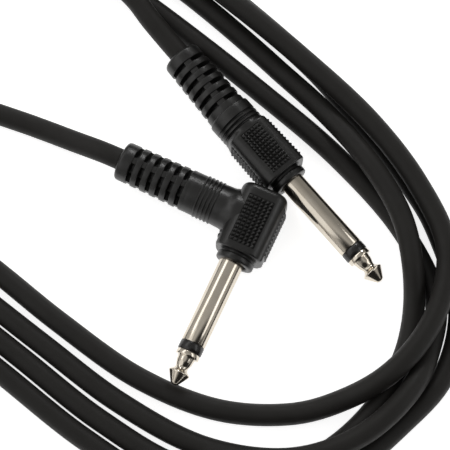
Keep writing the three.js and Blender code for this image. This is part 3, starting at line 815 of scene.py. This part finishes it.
def angle_handle():
    shell = Shell("angle_handle_moulded", plug_matrix(ANGLE, "side"))
    rear, first = ANGLE["rear"], ANGLE["first_slot"]
    rib_half = 0.85
    rib_turn = 0.0
    elbow = elbow_matrix()
    shell.add(
        relief_stations(rear, first, -17.6),
        relief_angles(rib_half, rib_turn),
        lambda s, a: relief_radius(s, a, rear, first, rib_half, rib_turn, 5.5),
        elbow,
    )
    stations = [FINE_REAR, -18.15, -18.05, -17.9, -16.5, -15.2]
    for rib in range(FINE_RIBS):
        stations += [FINE_FIRST + rib * FINE_PITCH + FINE_HALF * k / 4 for k in range(-4, 5)]
    stations += [-9.6, -9.0, -8.4, -7.8, -7.2, -6.6, -6.0, -5.4, -4.8, NECK_END]
    circle = [2 * math.pi * k / 80 for k in range(80)]
    shell.add(sorted(stations), circle, lambda s, a: fine_rib_radius(s), elbow)
    cap = ANGLE["cap"]
    stations = [cap + CAP_ROUND * (k / 8) ** 2 for k in range(9)] + [cap + 2.6] + panel_stations(ANGLE_PANEL)
    stations += [-3.9, -3.4, -3.0, -2.8, -2.65, -2.53, -2.45, GRIP_FRONT]
    angles = grip_angles(BLOCK_HALF, ANGLE_PITCH)
    shell.add(sorted(set(round(s, 4) for s in stations)), angles, angle_block_radius)
    add_seat(shell)
    handle = finish_piece("angle_handle_moulded", shell.mesh(), "handle_pvc", "angle_handle")
    # second slot: the painted shade on the floors of the windows
    handle.data.materials.append(RECESS_PAINTED_SHADE)


def jacket_end(name, plug, front, bend_matrix):
    """The end of the jacket, from inside the handle to just past the strain relief."""
    shell = Shell(name + "_jacket_turned", plug_matrix(plug, "side"))
    rear = plug["rear"]
    shell.lathe([(rear - 0.7, 0), (rear - 0.7, CABLE_R), (front, CABLE_R), (front, 0)], 32, bend_matrix)
    finish_piece(name + "_jacket_turned", shell.mesh(), "cable_pvc", name + "_jacket_end")


straight_handle()
angle_handle()
jacket_end("straight", STRAIGHT, -19.5, straight_boot_matrix())
jacket_end("angle", ANGLE, -4.9, elbow_matrix())

# ------------------------------------------------------------------ strap
STRAP_HALF = 6.0
STRAP_THICKNESS = 1.1
STRAP_STEPS = 96
STRAP_SLACK = 0.12
TAIL_HALF = 5.5
TAIL_FIRST = 17                  # the tail comes over the top and ends on the outer side
TAIL_LAST = 43


def strap_ring(offset):
    """The line around the bundle's strands at its far end, a distance out from their centrelines."""
    low = FLOOR + STRAP_LIFT
    high = UPPER + STRAP_LIFT
    inner = FAR_X - FAR_R
    centres = [(inner - LOWER_STRANDS[0], low), (inner - LOWER_STRANDS[2], low)]
    centres += [(inner - out, high) for out in UPPER_STRANDS]
    points = []
    for i in range(STRAP_STEPS):
        angle = 2 * math.pi * i / STRAP_STEPS
        out = Vector((math.cos(angle), math.sin(angle)))
        best = max(centres, key=lambda c: c[0] * out.x + c[1] * out.y)
        points.append((best[0] + offset * out.x, best[1] + offset * out.y))
    return points


def add_band(bm, offset, half, first, last):
    """A flat band with soft edges, from one step to another around the bundle, or all the way round."""
    inner = strap_ring(offset)
    outer = strap_ring(offset + STRAP_THICKNESS)
    whole = last - first == STRAP_STEPS
    soft = 0.25
    section = [
        (-half, 0.5), (soft - half, 1), (0, 1.08), (half - soft, 1), (half, 0.5),
        (half - soft, 0), (soft - half, 0),
    ]
    rings = []
    for step in range(first, last if whole else last + 1):
        a = Vector(inner[step % STRAP_STEPS])
        b = Vector(outer[step % STRAP_STEPS])
        ring = []
        for across, share in section:
            point = a.lerp(b, share)
            ring.append(bm.verts.new(Vector((point.x, FAR_Y + across, point.y)) * MM))
        rings.append(ring)
    following = rings[1:] + rings[:1] if whole else rings[1:]
    for low, high in zip(rings, following):
        for i in range(len(section)):
            k = (i + 1) % len(section)
            bm.faces.new((low[i], low[k], high[k], high[i]))
    if not whole:
        bm.faces.new(rings[0])
        bm.faces.new(list(reversed(rings[-1])))


def make_strap():
    """A hook-and-loop strap around the bundle, closed by its own tail."""
    bm = bmesh.new()
    around = CABLE_R + STRAP_SLACK
    add_band(bm, around, STRAP_HALF, 0, STRAP_STEPS)
    add_band(bm, around + STRAP_THICKNESS, TAIL_HALF, TAIL_FIRST, TAIL_LAST)
    bmesh.ops.recalc_face_normals(bm, faces=bm.faces)
    for face in bm.faces:
        face.smooth = len(face.verts) == 4
    mesh = bpy.data.meshes.new("strap_band")
    bm.to_mesh(mesh)
    bm.free()
    return finish_piece("strap_band", mesh, "strap", "cable_strap")


strap = make_strap()

cable = make_cable()
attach(cable, "root")
cad_cable = [name for name in frame["nodes"] if name.startswith("cable_") and name != "cable_strap"]
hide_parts(*cad_cable)

# ------------------------------------------------------------------ floor and light
FLOOR_HALF = 3.0
SOFTBOX_DISTANCE = 1.3


def make_floor():
    mesh = bpy.data.meshes.new("floor")
    half = FLOOR_HALF
    corners = [(-half, -half, 0), (half, -half, 0), (half, half, 0), (-half, half, 0)]
    mesh.from_pydata(corners, [], [(0, 1, 2, 3)])
    floor = bpy.data.objects.new("floor", mesh)
    SCENE.collection.objects.link(floor)
    material, tree, shader = new_material("floor", (0.7, 0.7, 0.7), 0.9)
    shader.inputs["Specular IOR Level"].default_value = 0.1
    shader.inputs["Emission Color"].default_value = (1, 1, 1, 1)
    shader.inputs["Emission Strength"].default_value = 0.82
    place = place_coordinates(tree)
    tree.links.new(
        color_ramp(tree, noise(tree, place, 0.02, 2), [(0.3, (0.69, 0.69, 0.69)), (0.7, (0.71, 0.71, 0.71))]),
        shader.inputs["Base Color"],
    )
    mesh.materials.append(material)


def direction(azimuth, elevation):
    """A direction out from the object. Azimuth 0 is the side the camera stands on."""
    turn = VIEW_AZIMUTH + math.radians(azimuth)
    lift = math.radians(elevation)
    return Vector((math.sin(turn) * math.cos(lift), -math.cos(turn) * math.cos(lift), math.sin(lift)))


def softbox(name, azimuth, elevation, width, height, radiance):
    """A soft light aimed at the object from SOFTBOX_DISTANCE, of a given brightness as seen from there."""
    light = bpy.data.lights.new(name, "AREA")
    light.shape = "RECTANGLE"
    light.size = width
    light.size_y = height
    light.energy = radiance * math.pi * width * height
    box = bpy.data.objects.new(name, light)
    box.location = direction(azimuth, elevation) * SOFTBOX_DISTANCE
    box.rotation_euler = (math.pi / 2 - math.radians(elevation), 0, VIEW_AZIMUTH + math.radians(azimuth))
    SCENE.collection.objects.link(box)


def facing(tree, vector, out, cosines, values):
    """Goes from one value to the other as a direction turns towards out."""
    node = tree.nodes.new("ShaderNodeVectorMath")
    node.operation = "DOT_PRODUCT"
    node.inputs[1].default_value = out
    tree.links.new(vector, node.inputs[0])
    return ranged(tree, node.outputs["Value"], *cosines, *values)


def make_world():
    """A pale room, a little darker behind on the right, and dark where the viewer stands."""
    world = bpy.data.worlds.new("world")
    world.use_nodes = True
    tree = world.node_tree
    background = tree.nodes["Background"]
    background.inputs["Color"].default_value = (1.0, 0.985, 0.96, 1)
    coordinates = tree.nodes.new("ShaderNodeTexCoord")
    room = facing(tree, coordinates.outputs["Generated"], direction(147, 10), (0.1, 0.75), (0.5, 0.27))
    viewer = facing(tree, coordinates.outputs["Generated"], direction(14, 33), (0.7, 0.84), (1, 0.04))
    both = tree.nodes.new("ShaderNodeMath")
    both.operation = "MULTIPLY"
    tree.links.new(room, both.inputs[0])
    tree.links.new(viewer, both.inputs[1])
    tree.links.new(both.outputs[0], background.inputs["Strength"])
    SCENE.world = world


def make_light():
    make_world()
    softbox("broad", -68, 40, 1.1, 1.1, 0.55)
    softbox("left", -135, 46, 1.3, 0.42, 1.5)
    softbox("right", 84, 40, 1.3, 0.42, 1.5)
    softbox("kicker", 168, 30, 0.3, 0.25, 12)
    SCENE.view_settings.view_transform = "Standard"
    SCENE.view_settings.look = "None"
    SCENE.view_settings.exposure = 0
    SCENE.view_settings.gamma = 1


make_floor()
make_light()

bpy.context.view_layer.update()
